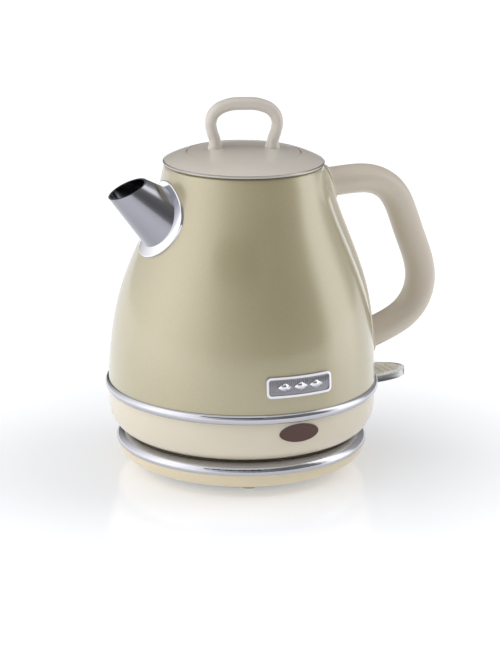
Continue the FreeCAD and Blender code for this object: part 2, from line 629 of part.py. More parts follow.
def make_trim():
    # Lamp lens, lamp, badge.
    lens = oval_y(LENS_W, LENS_H, LENS_Z, -90, -60)
    band_out = turned(
        ([(0, 24), (73.4, 24)], False), ([(73.4, 24), (73.4, 34), (73.4, 44)], False), ([(73.4, 44), (0, 44)], False))
    band_in = turned(([(0, 20), (72.04, 20), (72.04, 48), (0, 48)], False))
    lens_top = lens.common(band_out).cut(band_in)
    plug = oval_y(LENS_W - 1.7, LENS_H - 1.7, LENS_Z, -72.3, -69.0)
    lens_solid = as_solid(lens_top.fuse(plug).removeSplitter())
    save(lens_solid, "lamp_lens")
    lamp = Part.makeCylinder(2.4, 12.0, V(-6.0, -65.6, LENS_Z), V(1, 0, 0))
    save(lamp, "neon_lamp")
    holder = Part.makeBox(14, 7.0, 6.4, V(-7, -68.6, LENS_Z - 3.2))
    holder = holder.cut(Part.makeCylinder(2.45, 20.0, V(-10.0, -65.6, LENS_Z), V(1, 0, 0)))
    holder = holder.cut(Part.makeBox(20, 3.2, 4.0, V(-10, -68.7, LENS_Z - 2.0)))
    save(as_solid(holder), "lamp_holder")

    block = prism_y(BADGE_W, BADGE_H, BADGE_Z, -90, -55, 2.6)
    plate = bell(1.5).cut(bell(0.03)).common(block)
    inner = prism_y(BADGE_W - 2.4, BADGE_H - 2.4, BADGE_Z, -90, -55, 1.6)
    frame = plate.cut(inner)
    frame = sorted(frame.Solids, key=lambda s: s.CenterOfMass.y)[0]
    save(as_solid(frame), "badge_frame")
    field = bell(0.9).cut(bell(0.03)).common(
        prism_y(BADGE_W - 2.44, BADGE_H - 2.44, BADGE_Z, -90, -55, 1.6))
    field = sorted(field.Solids, key=lambda s: s.CenterOfMass.y)[0]
    save(as_solid(field), "badge_plate")


# ---------------------------------------------------------------- lid
def make_lid():
    trim = turned(
        ([(40.6, LID_Z), (42.9, LID_Z), (LID_R, LID_Z + 0.5), (LID_R, LID_Z + 1.2), (43.1, LID_Z + 1.6),
          (41.0, LID_Z + 1.9), (40.6, LID_Z + 1.9)], False))
    save(trim, "lid_trim_ring")
    shell = turned(
        ([(43.0, LID_Z + 1.7), (40.0, LID_Z + 3.2), (35.5, LID_Z + 5.0), (31.6, 173.6)], True),
        ([(30.9, 173.6), (30.9, 171.9), (30.5, 171.9), (30.5, 171.0)], False),
        ([(30.5, 171.0), (35.2, 170.0), (39.6, 169.3), (41.2, 169.3)], False),
    )
    save(shell, "lid_shell")
    dome = [(LID_DISC_R, 173.5), (22.0, 175.1), (11.0, 176.2), (0.0, 176.5)]
    disc = turned(([(0, 172.0), (LID_DISC_R + 0.4, 172.0), (LID_DISC_R + 0.4, 173.0), dome[0]], False), (dome, True))
    for x in (-15.2, 15.2):
        px, py = polar(x, KNOB_ANGLE)
        disc = disc.cut(cylinder(1.3, 160, 190, px, py))
    save(disc, "lid_disc")

    half = [(-x, z) for x, z in KNOB_LINE[:-1]]
    line = half + list(reversed(KNOB_LINE))
    loop = swept(line, KNOB_THICK, KNOB_DEEP)
    top = [(r, z + 0.05) for r, z in dome]
    floor = turned(([(0, 160), (60, 160), (60, 173.0), top[0]], False), (top, True))
    loop = loop.cut(floor)
    for x in (-15.2, 15.2):
        loop = loop.cut(cylinder(1.3, 160, 180.5, x, 0))
    loop = as_solid(loop)
    loop.rotate(V(0, 0, 0), Z_UP, KNOB_ANGLE)
    save(loop, "lid_knob")

    liner = turned(([
        (0, 159.4), (35.0, 159.4), (36.4, 160.8), (36.4, LID_Z + 0.1), (40.4, LID_Z + 0.1), (40.4, LID_Z + 1.1),
        (35.4, LID_Z + 1.1), (35.4, 161.2), (34.6, 160.4), (0, 160.4)], False))
    save(liner, "lid_liner")
    seal = turned(([
        (36.5, 162.2), (37.2, 162.2), (38.25, 163.6), (37.4, 164.4), (37.4, 165.4), (36.5, 165.4)], False))
    save(seal, "lid_seal")
    core = turned(([(0, 160.5), (6.0, 160.5), (6.0, 171.9), (0, 171.9)], False))
    boss = [core]
    for x in (-15.2, 15.2):
        px, py = polar(x, KNOB_ANGLE)
        boss.append(tube(3.6, 1.3, 168.9, 171.9, px, py))
    save(Part.makeCompound(boss), "lid_core")
    screws = []
    for x in (-15.2, 15.2):
        px, py = polar(x, KNOB_ANGLE)
        screws.append(screw(px, py, 167.2, 180.0, 2.6, 1.2, False))
    save(Part.makeCompound(screws), "knob_screws")


make_base()
make_body()
make_spout()
make_handle()
make_lever()
make_trim()
make_lid()
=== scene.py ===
"""Electric kettle on its round power base: the looks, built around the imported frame.

Metres throughout, in the same frame as the frame's nodes: +Z up, handle towards +X,
spout towards -X, badge and lamp lens towards -Y, floor at z = 0.
"""
import logging
import math
from dataclasses import dataclass
from enum import Enum
from typing import Sequence

import bmesh
import bpy
from mathutils import Matrix, Vector
from mathutils.bvhtree import BVHTree


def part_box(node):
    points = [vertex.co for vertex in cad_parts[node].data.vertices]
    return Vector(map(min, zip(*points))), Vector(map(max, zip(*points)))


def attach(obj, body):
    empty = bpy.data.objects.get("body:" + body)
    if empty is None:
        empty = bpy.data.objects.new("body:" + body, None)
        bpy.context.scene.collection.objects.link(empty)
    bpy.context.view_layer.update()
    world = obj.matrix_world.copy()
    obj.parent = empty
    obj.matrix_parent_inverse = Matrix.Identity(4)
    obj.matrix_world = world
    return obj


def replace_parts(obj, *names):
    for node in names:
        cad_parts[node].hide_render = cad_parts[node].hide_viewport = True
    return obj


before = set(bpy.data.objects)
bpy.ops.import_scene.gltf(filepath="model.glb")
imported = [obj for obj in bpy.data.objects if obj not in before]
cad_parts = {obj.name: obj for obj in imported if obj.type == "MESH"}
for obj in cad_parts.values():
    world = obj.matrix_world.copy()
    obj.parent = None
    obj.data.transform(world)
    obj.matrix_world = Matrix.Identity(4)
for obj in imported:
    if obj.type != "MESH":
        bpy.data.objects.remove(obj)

LOG = logging.getLogger("kettle")
MM = 0.001  # one millimetre in scene units
MERGE = 0.001 * MM  # points nearer than this are one point
OUTSIDE = 50.0 * MM  # how far outside a surface a measuring ray starts
FACETS = 8  # sides of a small rod
LAID_DOWN = (math.radians(90.0), 0.0, 0.0)  # turns a rod from upright to level
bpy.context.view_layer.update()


# ------------------------------------------------------------------ small tools
def linear(code: str, alpha: float = 1.0) -> tuple[float, float, float, float]:
    """Turn an sRGB hex colour into linear RGBA.

    Args:
        code: colour such as "#d8cfba".
        alpha: fourth value of the result.

    Returns:
        Linear red, green, blue and the given alpha.
    """
    parts = [int(code.lstrip("#")[i:i + 2], 16) / 255.0 for i in (0, 2, 4)]
    red, green, blue = (c / 12.92 if c <= 0.04045 else ((c + 0.055) / 1.055) ** 2.4 for c in parts)
    return red, green, blue, alpha


def add(tree: bpy.types.NodeTree, kind: str, links: dict | None = None, values: dict | None = None,
        **settings: object) -> bpy.types.Node:
    """Add one node with its settings, input values and incoming links.

    Args:
        tree: node tree that gets the node.
        kind: the node's type identifier.
        links: input name or index to the output socket that feeds it.
        values: input name or index to a constant.
        settings: properties of the node itself.

    Returns:
        The new node.
    """
    node = tree.nodes.new(kind)
    for key, value in settings.items():
        setattr(node, key, value)
    for key, value in (values or {}).items():
        node.inputs[key].default_value = value
    for key, source in (links or {}).items():
        tree.links.new(source, node.inputs[key])
    return node


class Surface(Enum):
    """How a finish was made, which picks its fine pattern."""

    MOULDED = "moulded"
    SATIN = "spark-eroded satin"
    PLATED = "electroplated"
    POLISHED = "polished"
    BRUSHED = "brushed"
    CAST = "cast"
    SOFT = "soft"


# ------------------------------------------------------------------ finishes
@dataclass(frozen=True)
class Finish:
    """A finish: the real material, how its surface was made and what the eye gets.

    Attributes:
        name: material name, the real material and its process.
        colour: sRGB hex of the material itself.
        surface: how the surface was made.
        roughness: mean roughness of the surface.
        metallic: 1 for a metal, 0 for anything else.
        grain_mm: size of the finest visible pattern.
        relief_mm: height of that pattern.
        tint: share by which the colour wanders over the piece.
        unevenness: share by which the roughness wanders.
        coat: clear layer on top, 0 to 1.
        coat_roughness: roughness of that layer.
        coat_ior: refractive index of that layer.
        scatter: share of light that wanders inside the plastic.
        clear: share of light that passes through.
    """

    name: str
    colour: str
    surface: Surface
    roughness: float
    metallic: float = 0.0
    grain_mm: float = 0.5
    relief_mm: float = 0.01
    tint: float = 0.04
    unevenness: float = 0.12
    coat: float = 0.0
    coat_roughness: float = 0.04
    coat_ior: float = 1.5
    scatter: float = 0.0
    clear: float = 0.0

    CLOUD_MM = 25.0  # width of the slow colour changes
    SMEAR_MM = 9.0  # width of the patches where the roughness changes
    BUMP = 0.35  # share of the relief that the light sees
    DEPTH_MM = 2.0  # how far light goes into a plastic that scatters it

    def build(self) -> bpy.types.Material:
        """Make the material, or return it if it was made before.

        Returns:
            The finished material.
        """
        known = bpy.data.materials.get(self.name)
        if known:
            return known
        material = bpy.data.materials.new(self.name)
        material.use_nodes = True
        tree = material.node_tree
        tree.nodes.clear()
        place = add(tree, "ShaderNodeTexCoord")
        shader = add(tree, "ShaderNodeBsdfPrincipled", values={
            "Metallic": self.metallic, "Coat Weight": self.coat, "Coat Roughness": self.coat_roughness,
            "Coat IOR": self.coat_ior, "Subsurface Weight": self.scatter,
            "Subsurface Scale": self.DEPTH_MM * MM, "Transmission Weight": self.clear})
        if not self.metallic:
            shader.inputs["IOR"].default_value = 1.5
        self.pattern(tree, place.outputs["Object"], shader)
        add(tree, "ShaderNodeOutputMaterial", links={"Surface": shader.outputs["BSDF"]})
        return material

    def stretched(self, tree: bpy.types.NodeTree, place: bpy.types.NodeSocket) -> bpy.types.NodeSocket:
        """Stretch the pattern along the direction the surface was worked in.

        Args:
            tree: the material's tree.
            place: position on the object.

        Returns:
            The position to feed the fine pattern.
        """
        stretch = {Surface.BRUSHED: (1.0, 1.0, 0.03), Surface.POLISHED: (1.0, 1.0, 0.12)}
        scale = stretch.get(self.surface, (1.0, 1.0, 1.0))
        mapped = add(tree, "ShaderNodeMapping", links={"Vector": place}, values={"Scale": scale})
        return mapped.outputs["Vector"]

    def pattern(self, tree: bpy.types.NodeTree, place: bpy.types.NodeSocket, shader: bpy.types.Node) -> None:
        """Add the colour, roughness and relief that the process leaves.

        Args:
            tree: the material's tree.
            place: position on the object.
            shader: the shader to feed.
        """
        cloud = add(tree, "ShaderNodeTexNoise", links={"Vector": place},
                    values={"Scale": 1.0 / (self.CLOUD_MM * MM), "Detail": 3.0, "Roughness": 0.5})
        tone = add(tree, "ShaderNodeMapRange", links={"Value": cloud.outputs["Fac"]}, values={
            "From Min": 0.3, "From Max": 0.7, "To Min": 1.0 - self.tint, "To Max": 1.0 + self.tint})
        shade = add(tree, "ShaderNodeMix", data_type="RGBA", blend_type="MULTIPLY",
                    links={7: tone.outputs["Result"]}, values={0: 1.0, 6: linear(self.colour)})
        tree.links.new(shade.outputs[2], shader.inputs["Base Color"])
        fine = add(tree, "ShaderNodeTexNoise", links={"Vector": self.stretched(tree, place)},
                   values={"Scale": 1.0 / (self.grain_mm * MM), "Detail": 2.0, "Roughness": 0.6})
        smear = add(tree, "ShaderNodeTexNoise", links={"Vector": place},
                    values={"Scale": 1.0 / (self.SMEAR_MM * MM), "Detail": 4.0, "Roughness": 0.65})
        both = add(tree, "ShaderNodeMath", operation="MULTIPLY_ADD",
                   links={0: fine.outputs["Fac"], 2: smear.outputs["Fac"]}, values={1: 0.5})
        rough = add(tree, "ShaderNodeMapRange", links={"Value": both.outputs["Value"]}, values={
            "From Min": 0.45, "From Max": 1.05,
            "To Min": self.roughness * (1.0 - self.unevenness),
            "To Max": min(self.roughness * (1.0 + self.unevenness), 1.0)})
        tree.links.new(rough.outputs["Result"], shader.inputs["Roughness"])
        bump = add(tree, "ShaderNodeBump", links={"Height": fine.outputs["Fac"]},
                   values={"Strength": self.BUMP, "Distance": self.relief_mm * MM})
        tree.links.new(bump.outputs["Normal"], shader.inputs["Normal"])


@dataclass(frozen=True)
class PearlEnamel(Finish):
    """Stoved enamel with mica flakes under a clear lacquer.

    The inside of the bell has no enamel: there the steel is bare.

    Attributes:
        flake_mm: size of a flake. Real mica is finer, and is drawn this coarse to show.
        sparkle: how much a flake differs from its neighbours.
        peel_mm: width of the lacquer's orange peel.
        bare: sRGB hex of the steel.
        bare_roughness: its roughness.
    """

    flake_mm: float = 0.3
    sparkle: float = 0.1
    peel_mm: float = 2.4
    bare: str = "#b9b9bb"
    bare_roughness: float = 0.3

    CLOUD_MM = 40.0  # width of the slow colour changes in the lacquer
    TOWARDS_AXIS = -0.3  # a face is an inner one below this

    def inside(self, tree: bpy.types.NodeTree) -> bpy.types.NodeSocket:
        """Tell the inner surface of the bell from the outer one.

        Args:
            tree: the material's tree.

        Returns:
            1 where the surface looks towards the bell's own axis, else 0.
        """
        place = add(tree, "ShaderNodeTexCoord")
        level = add(tree, "ShaderNodeVectorMath", operation="MULTIPLY", links={0: place.outputs["Object"]},
                    values={1: (1.0, 1.0, 0.0)})
        outward = add(tree, "ShaderNodeVectorMath", operation="NORMALIZE", links={0: level.outputs["Vector"]})
        facing = add(tree, "ShaderNodeVectorMath", operation="DOT_PRODUCT",
                     links={0: outward.outputs["Vector"], 1: place.outputs["Normal"]})
        return add(tree, "ShaderNodeMath", operation="LESS_THAN", links={0: facing.outputs["Value"]},
                   values={1: self.TOWARDS_AXIS}).outputs["Value"]

    def pattern(self, tree: bpy.types.NodeTree, place: bpy.types.NodeSocket, shader: bpy.types.Node) -> None:
        """Add flakes of slightly different tone and tilt under smooth lacquer.

        Args:
            tree: the material's tree.
            place: position on the object.
            shader: the shader to feed.
        """
        flakes = add(tree, "ShaderNodeTexVoronoi", links={"Vector": place},
                     values={"Scale": 1.0 / (self.flake_mm * MM), "Randomness": 1.0})
        level = add(tree, "ShaderNodeSeparateColor", links={"Color": flakes.outputs["Color"]})
        cloud = add(tree, "ShaderNodeTexNoise", links={"Vector": place},
                    values={"Scale": 1.0 / (self.CLOUD_MM * MM), "Detail": 2.0})
        mixed = add(tree, "ShaderNodeMath", operation="MULTIPLY_ADD",
                    links={0: cloud.outputs["Fac"], 2: level.outputs["Red"]}, values={1: 0.35})
        tone = add(tree, "ShaderNodeMapRange", links={"Value": mixed.outputs["Value"]}, values={
            "From Min": 0.0, "From Max": 1.35, "To Min": 1.0 - self.sparkle, "To Max": 1.0 + self.sparkle})
        shade = add(tree, "ShaderNodeMix", data_type="RGBA", blend_type="MULTIPLY",
                    links={7: tone.outputs["Result"]}, values={0: 1.0, 6: linear(self.colour)})
        inner = self.inside(tree)
        coated = add(tree, "ShaderNodeMix", data_type="RGBA", links={0: inner, 6: shade.outputs[2]},
                     values={7: linear(self.bare)})
        tree.links.new(coated.outputs[2], shader.inputs["Base Color"])
        metal = add(tree, "ShaderNodeMath", operation="MULTIPLY_ADD", links={0: inner},
                    values={1: 1.0 - self.metallic, 2: self.metallic})
        tree.links.new(metal.outputs["Value"], shader.inputs["Metallic"])
        rough = add(tree, "ShaderNodeMapRange", links={"Value": level.outputs["Green"]}, values={
            "To Min": self.roughness * 0.85, "To Max": self.roughness * 1.2})
        worn = add(tree, "ShaderNodeMix", data_type="FLOAT", links={0: inner, 2: rough.outputs["Result"]},
                   values={3: self.bare_roughness})
        tree.links.new(worn.outputs[0], shader.inputs["Roughness"])
        bump = add(tree, "ShaderNodeBump", links={"Height": level.outputs["Blue"]},
                   values={"Strength": 0.12, "Distance": self.relief_mm * MM})
        tree.links.new(bump.outputs["Normal"], shader.inputs["Normal"])
        peel = add(tree, "ShaderNodeTexNoise", links={"Vector": place},
                   values={"Scale": 1.0 / (self.peel_mm * MM), "Detail": 1.0})
        lacquer = add(tree, "ShaderNodeBump", links={"Height": peel.outputs["Fac"]},
                      values={"Strength": 0.25, "Distance": self.relief_mm * MM})
        tree.links.new(lacquer.outputs["Normal"], shader.inputs["Coat Normal"])


class Stock:
    """Every finish on the kettle."""

    # Stoved pearl enamel on steel: olive in shade, champagne where a lamp catches the mica.
    ENAMEL = PearlEnamel("pearl_enamel_on_steel", "#aaa07e", Surface.POLISHED, 0.42, metallic=0.30, coat=1.0,
                         coat_roughness=0.15, coat_ior=1.8, relief_mm=0.01, sparkle=0.06)
    # Injection-moulded ABS, polished mould: a clean cream gloss.
    CREAM = Finish("cream_abs_gloss_moulded", "#dad1bd", Surface.MOULDED, 0.24, grain_mm=0.6, relief_mm=0.004,
                   tint=0.01, coat=0.25, scatter=0.08)
    # The base's ABS is a warmer batch of the same moulding.
    CREAM_WARM = Finish("cream_abs_warm_moulded", "#e0d2b4", Surface.MOULDED, 0.3, grain_mm=0.6,
                        relief_mm=0.002, tint=0.006, unevenness=0.04, coat=0.2)
    # The lever's pad is a whiter batch, seen through clear plastic at its edge.
    CREAM_PALE = Finish("cream_abs_pale_moulded", "#f4efe2", Surface.MOULDED, 0.3, grain_mm=0.6,
                        relief_mm=0.003, tint=0.006)
    # Polypropylene from a spark-eroded mould: a satin that breaks highlights up.
    SATIN = Finish("beige_pp_satin_moulded", "#cec4b4", Surface.SATIN, 0.40, grain_mm=0.35, relief_mm=0.02,
                   tint=0.012, coat=0.15, coat_roughness=0.3, scatter=0.06)
    # The lid is the same plastic from a smoother mould, so it shows soft reflections.
    LID = Finish("beige_abs_semi_gloss_moulded", "#cfc8be", Surface.MOULDED, 0.3, grain_mm=0.5,
                 relief_mm=0.001, tint=0.004, unevenness=0.04, coat=0.3, coat_roughness=0.12, scatter=0.05)
    # Nylon skirt under the base: its grey paints the shade under the base. Soft and dull.
    SHADE_GREY = Finish("nylon_grey_painted_shade_moulded", "#8e9192", Surface.SATIN, 0.38, grain_mm=0.4, relief_mm=0.015,
                  tint=0.03)
    # Bright chromium over nickel: mirror-like with faint wipe marks.
    CHROME = Finish("chromium_plate_bright", "#dcdce2", Surface.PLATED, 0.08, metallic=1.0, grain_mm=0.4,
                    relief_mm=0.0005, tint=0.01)
    # The two rolled bands are the same chromium with a darker colour, which paints the shade seen in their
    # reflections: a darker mirror.
    SHADED_CHROME = Finish("chromium_rolled_painted_shade", "#bcbcc2", Surface.PLATED, 0.05, metallic=1.0, grain_mm=0.4,
                  relief_mm=0.0005, tint=0.01)
    # Stainless steel polished along the cone: dark, slightly stretched reflections.
    POLISHED = Finish("stainless_steel_polished", "#9d9da4", Surface.POLISHED, 0.2, metallic=1.0,
                      grain_mm=0.25, relief_mm=0.001, tint=0.02)
    # The thin lid rim is the same steel, drawn and only lightly buffed.
    BUFFED = Finish("stainless_steel_buffed", "#a9a6a0", Surface.POLISHED, 0.2, metallic=1.0, grain_mm=0.25,
                    relief_mm=0.002, tint=0.02)
    # Stainless sheet brushed with grit: fine parallel lines.
    BRUSHED = Finish("stainless_steel_brushed", "#b9b9bb", Surface.BRUSHED, 0.3, metallic=1.0, grain_mm=0.2,
                     relief_mm=0.006, tint=0.04)
    # Drawn aluminium tube: soft grey.
    ALUMINIUM = Finish("aluminium_drawn", "#b3b4b6", Surface.CAST, 0.38, metallic=1.0, grain_mm=0.5,
                       relief_mm=0.02, tint=0.05)
    # Stamped contact brass: warm and slightly dulled.
    BRASS = Finish("brass_stamped", "#b08d4b", Surface.BRUSHED, 0.3, metallic=1.0, grain_mm=0.3,
                   relief_mm=0.005, tint=0.06)
    # Glass-filled nylon: matt black with a fine pebble.
    BLACK = Finish("black_nylon_glass_filled", "#1b1b1d", Surface.SATIN, 0.5, grain_mm=0.3, relief_mm=0.03,
                   tint=0.05)
    # Silicone rubber: soft off-white that shows no reflections.
    SILICONE = Finish("silicone_off_white", "#d9d2c0", Surface.SOFT, 0.62, grain_mm=0.4, relief_mm=0.02,
                      tint=0.03, scatter=0.1)
    # Clear polycarbonate: glassy edge that picks up grey lines.
    CLEAR = Finish("polycarbonate_clear_moulded", "#eef0ec", Surface.MOULDED, 0.06, grain_mm=0.8,
                   relief_mm=0.002, tint=0.005, clear=0.92)
    # Smoked styrene window: grey-green, seen against the steel behind.
    SMOKED = Finish("styrene_window_smoked", "#c9cbc2", Surface.MOULDED, 0.1, grain_mm=0.8, relief_mm=0.002,
                    tint=0.01, clear=0.7)
    # Drawn glass of the neon lamp: clear, tinted orange by the electrodes behind it.
    NEON = Finish("neon_tube_glass", "#d98a58", Surface.POLISHED, 0.12, grain_mm=0.8, relief_mm=0.002,
                  clear=0.6)
    # Dyed polycarbonate lens: near-black brown until the lamp lights.
    LENS = Finish("polycarbonate_dyed_brown", "#4a2419", Surface.MOULDED, 0.2, grain_mm=0.7, relief_mm=0.003,
                  tint=0.05, coat=0.2)
    # Etched zinc plate, dull grey behind its ribs.
    ETCHED = Finish("zinc_plate_etched", "#9a999e", Surface.CAST, 0.38, metallic=0.8, grain_mm=0.3,
                    relief_mm=0.01, tint=0.06)


def dress(names: Sequence[str], finish: Finish) -> None:
    """Give frame nodes a finish.

    Args:
        names: node names.
        finish: what they are made of.
    """
    material = finish.build()
    for name in names:
        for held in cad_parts[name].material_slots:
            held.material = material
        LOG.info("%s: %s", name, finish.name)


# ------------------------------------------------------------------ measuring the frame
class Skin:
    """The surface of one frame node, to find points on it."""

    def __init__(self, node: str) -> None:
        """Read the node's mesh.

        Args:
            node: the frame node's name.
        """
        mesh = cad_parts[node].data
        self.tree = BVHTree.FromPolygons([v.co.copy() for v in mesh.vertices],
                                         [tuple(p.vertices) for p in mesh.polygons])

    def hit(self, start: Vector, along: Vector) -> Vector:
        """First point of the surface on a ray.

        Args:
            start: where the ray starts.
            along: its direction.

        Returns:
            The point that it meets.
        """
        place = self.tree.ray_cast(start, along)[0]
        if place is None:
            raise ValueError(f"no surface along {along} from {start}")
        return place


class Bell:
    """The painted bell: its radius at each height, read off its plain front."""

    STEP = 0.5 * MM
    FAR = 0.2

    def __init__(self) -> None:
        """Measure nothing yet; heights are looked up as they are asked for."""
        self.skin = Skin("body_shell")
        self.low, self.high = (corner.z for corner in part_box("body_shell"))

    def radius(self, height: float) -> float:
        """Radius of the bell.

        Args:
            height: height above the floor.

        Returns:
            The outer radius there.
        """
        inside = min(max(height, self.low + self.STEP), self.high - 4.0 * self.STEP)
        return -self.skin.hit(Vector((0.0, -self.FAR, inside)), Vector((0.0, 1.0, 0.0))).y

    def grown(self, height: float, proud: float) -> float:
        """Radius of a surface that stands off the bell.

        Args:
            height: height above the floor.
            proud: distance from the bell, square to it.

        Returns:
            The radius of that surface.
        """
        rise = (self.radius(height + self.STEP) - self.radius(height - self.STEP)) / (2.0 * self.STEP)
        return self.radius(height) + proud * math.hypot(1.0, rise)

    def back(self, side: float, height: float, proud: float) -> Vector:
        """Point on the handle side of the bell.

        Args:
            side: distance from the middle plane, along Y.
            height: height above the floor.
            proud: distance from the bell.

        Returns:
            The point.
        """
        reach = self.grown(height, proud)
        return Vector((math.sqrt(reach * reach - side * side), side, height))

    def front(self, side: float, height: float, proud: float) -> Vector:
        """Point on the badge side of the bell.

        Args:
            side: distance from the middle plane, along X.
            height: height above the floor.
            proud: distance from the bell.

        Returns:
            The point.
        """
        reach = self.grown(height, proud)
        return Vector((side, -math.sqrt(reach * reach - side * side), height))


# ------------------------------------------------------------------ making pieces
def piece_of(name: str, mesh: bpy.types.Mesh, body: str,
             finish: Finish | None = None) -> bpy.types.Object:
    """Put a finished mesh in the scene as a piece that rides on a body.

    Args:
        name: the piece's name.
        mesh: its mesh, already in place.
        body: the body it moves with.
        finish: what it is made of, where the mesh has no material yet.

    Returns:
        The piece.
    """
    mesh.name = name
    if finish:
        mesh.materials.clear()
        mesh.materials.append(finish.build())
    made = bpy.data.objects.new(name, mesh)
    bpy.context.scene.collection.objects.link(made)
    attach(made, body)
    LOG.info("%s: %d faces on %s", name, len(mesh.polygons), body)
    return made


def mesh_of(name: str, points: Sequence[Vector], faces: Sequence[Sequence[int]],
            smooth: float) -> bpy.types.Mesh:
    """Make a closed mesh with outward faces and smooth shading.

    Args:
        name: the mesh's name.
        points: its vertices.
        faces: its faces, any winding.
        smooth: edges sharper than this angle in degrees stay crisp.

    Returns:
        The mesh.
    """
    mesh = bpy.data.meshes.new(name)
    mesh.from_pydata([tuple(p) for p in points], [], [tuple(f) for f in faces])
    work = bmesh.new()
    work.from_mesh(mesh)
    bmesh.ops.remove_doubles(work, verts=work.verts, dist=MERGE)
    bmesh.ops.recalc_face_normals(work, faces=work.faces)
    work.to_mesh(mesh)
    work.free()
    mesh.shade_smooth()
    mesh.set_sharp_from_angle(angle=math.radians(smooth))
    return mesh


def loft(name: str, rings: Sequence[Sequence[Vector]], capped: bool, smooth: float = 50.0) -> bpy.types.Mesh:
    """Join closed rings of points, one after the other.

    Args:
        name: the mesh's name.
        rings: rings with the same number of points.
        capped: close both ends with a face, or else join the last ring to the first.
        smooth: edges sharper than this angle in degrees stay crisp.

    Returns:
        The mesh.
    """
    count = len(rings[0])
    points = [point for ring in rings for point in ring]
    spans = len(rings) - 1 if capped else len(rings)
    faces: list[Sequence[int]] = []
    for i in range(spans):
        here, after = i * count, ((i + 1) % len(rings)) * count
        for j in range(count):
            k = (j + 1) % count
            faces.append((here + j, here + k, after + k, after + j))
    if capped:
        faces.append(tuple(range(count)))
        faces.append(tuple(range(len(points) - count, len(points))))
    return mesh_of(name, points, faces, smooth)


class Growth:
    """One Geometry Nodes tree with named inputs, run once to leave a plain mesh."""

    KINDS = {int: "NodeSocketInt", float: "NodeSocketFloat", tuple: "NodeSocketVector",
             bpy.types.Material: "NodeSocketMaterial"}

    def __init__(self, name: str, inputs: dict[str, type]) -> None:
        """Start a tree.

        Args:
            name: the tree's name.
            inputs: input names and their Python types.
        """
        self.tree = bpy.data.node_groups.new(name, "GeometryNodeTree")
        face = self.tree.interface
        face.new_socket(name="Geometry", in_out="INPUT", socket_type="NodeSocketGeometry")
        face.new_socket(name="Geometry", in_out="OUTPUT", socket_type="NodeSocketGeometry")
        self.sockets = {}
        for label, kind in inputs.items():
            item = face.new_socket(name=label, in_out="INPUT", socket_type=self.KINDS[kind])
            self.sockets[label] = item.identifier
        self.given = add(self.tree, "NodeGroupInput").outputs

    def end(self, geometry: bpy.types.NodeSocket) -> None:
        """Close the tree with real geometry and its material.

        Args:
            geometry: the socket that holds the result.
        """
        real = add(self.tree, "GeometryNodeRealizeInstances", links={"Geometry": geometry})
        coated = add(self.tree, "GeometryNodeSetMaterial",
                     links={"Geometry": real.outputs["Geometry"], "Material": self.given["Material"]})
        add(self.tree, "NodeGroupOutput", links={0: coated.outputs["Geometry"]})

    def run(self, start: bpy.types.Mesh, values: dict[str, object]) -> bpy.types.Mesh:
        """Grow the result from a starting mesh.

        Args:
            start: mesh that the tree works on.
            values: a value for each named input.

        Returns:
            The result as a plain mesh.
        """
        seed = bpy.data.objects.new("growth_seed", start)
        bpy.context.scene.collection.objects.link(seed)
        grow = seed.modifiers.new("grow", "NODES")
        grow.node_group = self.tree
        for label, value in values.items():
            grow[self.sockets[label]] = value
        graph = bpy.context.evaluated_depsgraph_get()
        mesh = bpy.data.meshes.new_from_object(seed.evaluated_get(graph), depsgraph=graph)
        seed.modifiers.clear()
        bpy.data.objects.remove(seed)
        return mesh


def rib_growth() -> Growth:
    """Tree that sets small ribs along a line: badge ribs, lozenges and window marks.

    Returns:
        The tree, with inputs for the count, section, lean and the longer ribs.
    """
    growth = Growth("ribs_along_a_line", {
        "Count": int, "Facets": int, "Radius": float, "Length": float, "Lean": tuple, "Stretch": tuple,
        "Long Every": int, "Long Scale": float, "Material": bpy.types.Material})
    tree, given = growth.tree, growth.given
    line = add(tree, "GeometryNodeMeshToCurve", links={"Mesh": given["Geometry"]})
    spaced = add(tree, "GeometryNodeResampleCurve",
                 links={"Curve": line.outputs["Curve"], "Count": given["Count"]})
    points = add(tree, "GeometryNodeCurveToPoints", mode="EVALUATED",
                 links={"Curve": spaced.outputs["Curve"]})
    aim = add(tree, "FunctionNodeAlignRotationToVector", axis="X", pivot_axis="Z",
              links={"Vector": points.outputs["Tangent"]})
    rod = add(tree, "GeometryNodeMeshCylinder",
              links={"Vertices": given["Facets"], "Radius": given["Radius"], "Depth": given["Length"]})
    soft = add(tree, "GeometryNodeSetShadeSmooth", links={"Geometry": rod.outputs["Mesh"]})
    lean = add(tree, "FunctionNodeEulerToRotation", links={"Euler": given["Lean"]})
    leant = add(tree, "GeometryNodeTransform",
                links={"Geometry": soft.outputs["Geometry"], "Rotation": lean.outputs["Rotation"]})
    rib = add(tree, "GeometryNodeTransform",
              links={"Geometry": leant.outputs["Geometry"], "Scale": given["Stretch"]})
    order = add(tree, "GeometryNodeInputIndex")
    turn = add(tree, "ShaderNodeMath", operation="MODULO",
               links={0: order.outputs["Index"], 1: given["Long Every"]})
    is_long = add(tree, "ShaderNodeMath", operation="LESS_THAN", links={0: turn.outputs["Value"]},
                  values={1: 0.5})
    reach = add(tree, "ShaderNodeMix", data_type="FLOAT",
                links={0: is_long.outputs["Value"], 3: given["Long Scale"]}, values={2: 1.0})
    size = add(tree, "ShaderNodeCombineXYZ", links={"Y": reach.outputs[0]}, values={"X": 1.0, "Z": 1.0})
    ribs = add(tree, "GeometryNodeInstanceOnPoints", links={
        "Points": points.outputs["Points"], "Instance": rib.outputs["Geometry"],
        "Rotation": aim.outputs["Rotation"], "Scale": size.outputs["Vector"]})
    growth.end(ribs.outputs["Instances"])
    return growth


